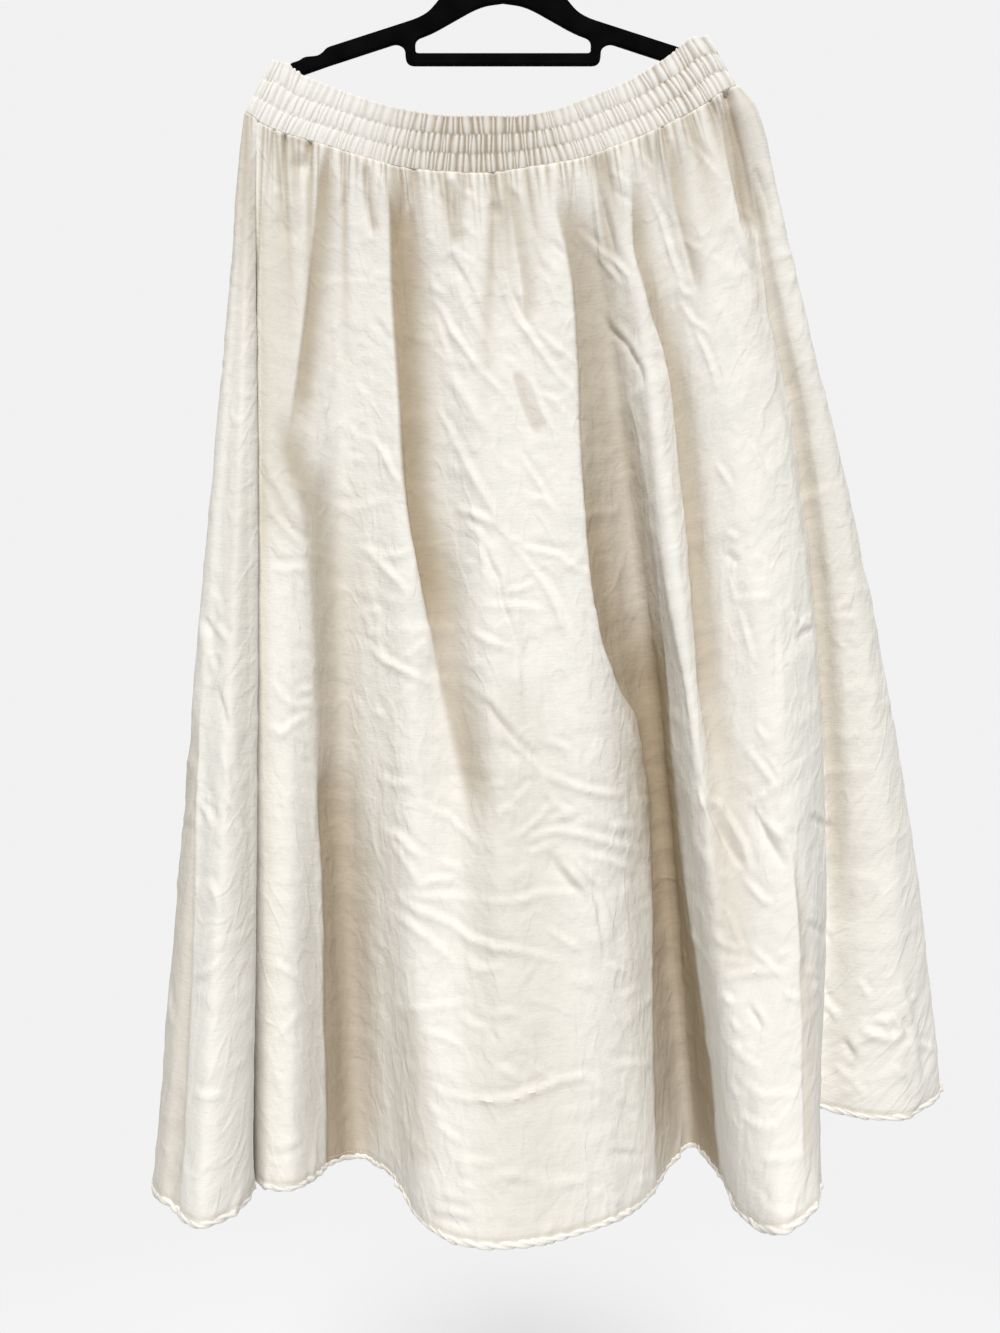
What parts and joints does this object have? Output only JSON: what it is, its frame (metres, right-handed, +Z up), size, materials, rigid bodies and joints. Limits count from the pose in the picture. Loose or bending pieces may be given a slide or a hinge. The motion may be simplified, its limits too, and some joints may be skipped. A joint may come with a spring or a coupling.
{
  "type": "gathered midi skirt on a hanger",
  "caption": "Ivory single-layer gathered midi skirt with a wide shirred elastic waistband and a rolled hem, hanging from a slim black flocked hanger with a wire hook.",
  "frame": {"origin": "inner top of the hanger's hook, where the rail bears", "axes": "+Z up, +X along the hanger to the right as seen from the front, -Y the front of the skirt"},
  "size_m": [0.6084, 0.2218, 1.1073],
  "materials": {
    "cloth": "plain woven cotton and linen, washed and creased",
    "band_cloth": "the same cloth, shirred over elastic",
    "flock": "short black flock",
    "steel": "bright plated wire"
  },
  "bodies": {
    "root": {"skirt_front": "cloth", "skirt_back": "cloth", "waistband_front": "band_cloth", "waistband_back": "band_cloth", "hanger_frame": "flock", "hanger_hook": "steel"}
  },
  "joints": []
}
